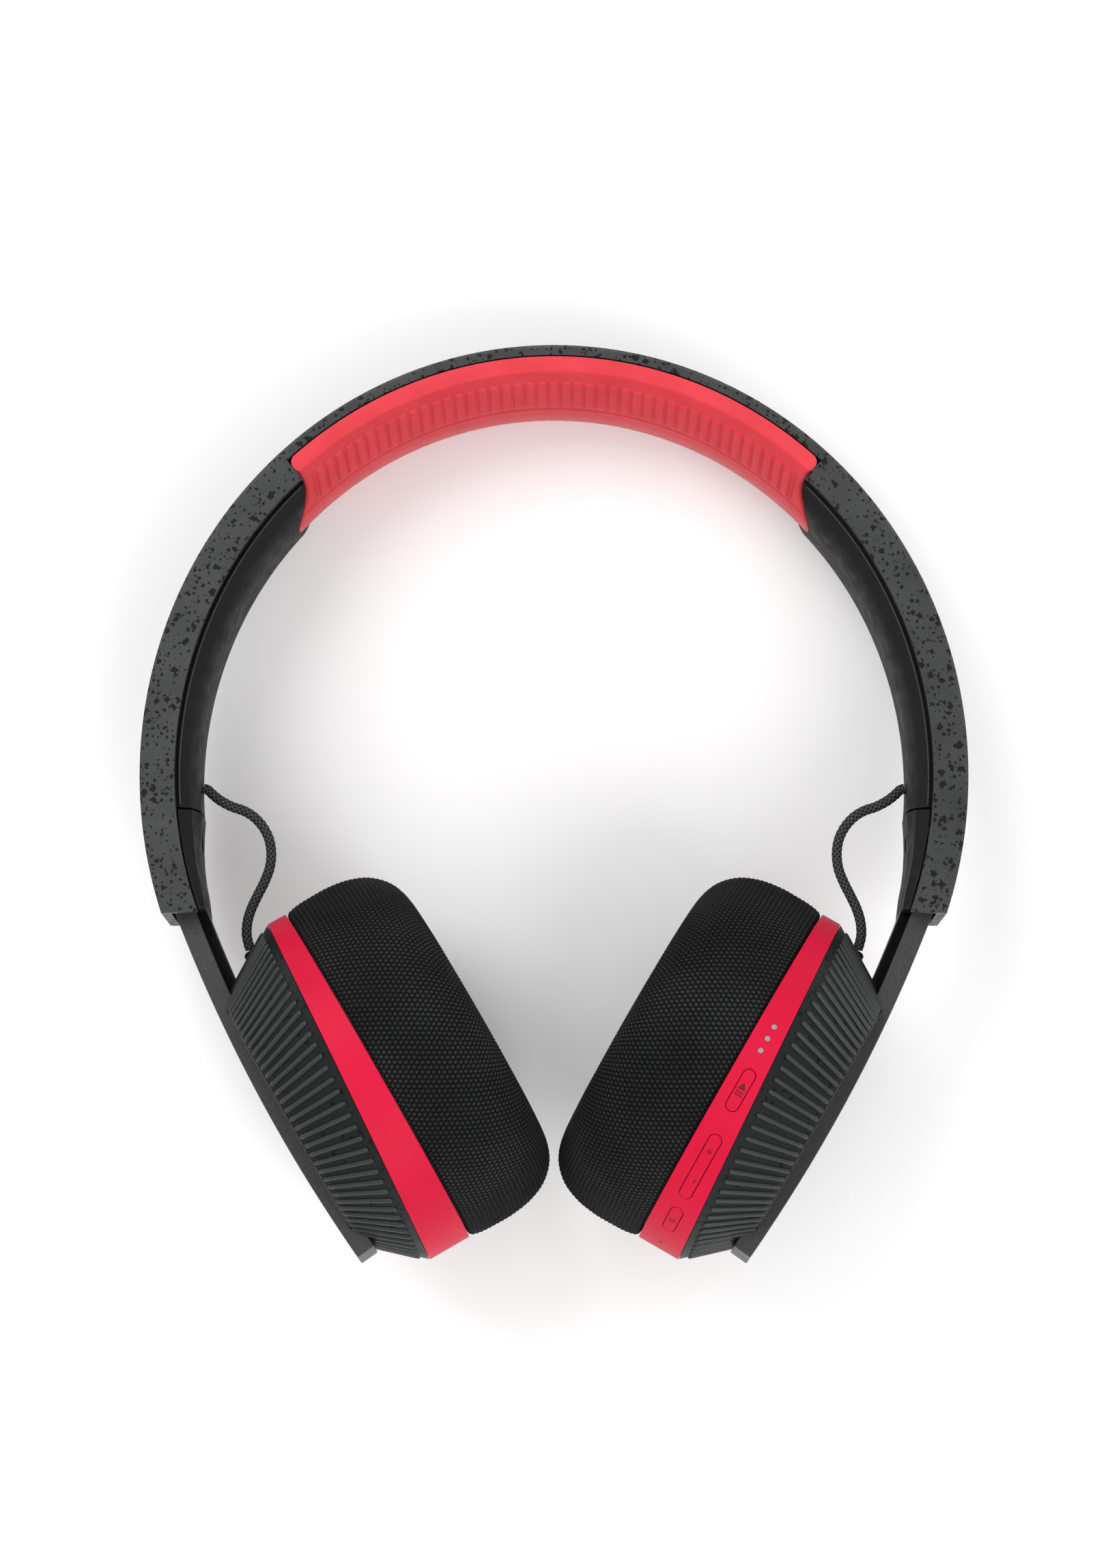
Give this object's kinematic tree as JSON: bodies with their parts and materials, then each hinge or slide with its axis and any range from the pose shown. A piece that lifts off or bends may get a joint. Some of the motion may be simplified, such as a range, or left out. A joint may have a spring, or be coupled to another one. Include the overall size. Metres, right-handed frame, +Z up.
{
  "type": "over-ear headphones",
  "caption": "Wireless over-ear headphones: a rigid band with a soft red pad, two curved arms, ribbed cone-backed cups with red rims and knitted cushions, and two short braided cords.",
  "frame": {"origin": "centre of the footprint, at the level of the floor the headphones lie on", "axes": "+X from the left cup to the right cup, +Y from the cups to the top of the band, +Z up from the floor"},
  "size_m": [0.175, 0.1964, 0.0804],
  "materials": {
    "speckled_plastic": "dark grey plastic with fine black flecks",
    "matte_plastic": "matte black",
    "arm_plastic": "satin dark grey",
    "cone_plastic": "satin black, ribbed",
    "red_plastic": "satin red",
    "red_silicone": "soft satin red",
    "knit_fabric": "black knit",
    "braid": "black braid",
    "steel": "plain steel",
    "inner_plastic": "black moulded plastic",
    "nylon": "natural nylon",
    "light_pipe": "grey translucent",
    "board": "green",
    "rubber": "black",
    "film": "pale film"
  },
  "bodies": {
    "headband": {"band_liner": "matte_plastic", "band_shell": "speckled_plastic", "head_pad": "red_silicone", "left_arm": "arm_plastic", "left_arm_screw_1": "steel", "left_arm_screw_2": "steel", "left_band_cord_gland": "rubber", "left_cord": "braid", "left_end_cover": "speckled_plastic", "left_end_cover_screw": "steel", "right_arm": "arm_plastic", "right_arm_screw_1": "steel", "right_arm_screw_2": "steel", "right_band_cord_gland": "rubber", "right_cord": "braid", "right_end_cover": "speckled_plastic", "right_end_cover_screw": "steel", "spring_band": "steel"},
    "left_cup": {"left_outer_shell": "cone_plastic", "left_carriage_screw_1": "steel", "left_carriage_screw_2": "steel", "left_slide_carriage": "nylon", "left_trim_ring": "red_plastic", "left_baffle": "inner_plastic", "left_driver_basket": "inner_plastic", "left_magnet": "steel", "left_diaphragm": "film", "left_cushion_carrier": "inner_plastic", "left_carrier_screw_1": "steel", "left_carrier_screw_2": "steel", "left_ear_screen": "knit_fabric", "left_ear_cushion": "knit_fabric", "left_cup_cord_gland": "rubber", "battery": "inner_plastic"},
    "right_cup": {"right_outer_shell": "cone_plastic", "right_carriage_screw_1": "steel", "right_carriage_screw_2": "steel", "right_slide_carriage": "nylon", "right_trim_ring": "red_plastic", "right_baffle": "inner_plastic", "right_driver_basket": "inner_plastic", "right_magnet": "steel", "right_diaphragm": "film", "right_cushion_carrier": "inner_plastic", "right_carrier_screw_1": "steel", "right_carrier_screw_2": "steel", "right_ear_screen": "knit_fabric", "right_ear_cushion": "knit_fabric", "right_cup_cord_gland": "rubber", "play_switch": "inner_plastic", "volume_switch": "inner_plastic", "power_switch": "inner_plastic", "light_pipe": "light_pipe", "circuit_board": "board", "microphone": "steel", "charging_port": "steel"},
    "play_button": {"play_button": "red_plastic"},
    "volume_rocker": {"volume_rocker": "red_plastic"},
    "power_button": {"power_button": "red_plastic"}
  },
  "joints": [
    {"name": "left_slide", "type": "hinge", "parent": "headband", "child": "left_cup", "pos_m": [0.23513, 0.0967, 0.01653], "axis": [0, -0.1539, -0.9881], "range_deg": [-0.25, 2], "deforming": ["left_cord"]},
    {"name": "right_slide", "type": "hinge", "parent": "headband", "child": "right_cup", "pos_m": [-0.23513, 0.0967, 0.01653], "axis": [0, 0.1539, 0.9881], "range_deg": [-0.25, 2], "deforming": ["right_cord"]},
    {"name": "play_button_press", "type": "slide", "parent": "right_cup", "child": "play_button", "axis": [0.0713, -0.0303, -0.997], "range_m": [0, 0.0004], "stiffness_N_per_m": 4000, "springref_m": -0.0001},
    {"name": "power_button_press", "type": "slide", "parent": "right_cup", "child": "power_button", "axis": [0.4352, 0.669, -0.6026], "range_m": [0, 0.0004], "stiffness_N_per_m": 4000, "springref_m": -0.0001},
    {"name": "volume_rocker_tilt", "type": "hinge", "parent": "right_cup", "child": "volume_rocker", "pos_m": [0.02988, -0.07485, 0.07552], "axis": [0.866, -0.494, 0.077], "range_deg": [-1.8, 1.8], "stiffness_Nm_per_rad": 0.5}
  ]
}
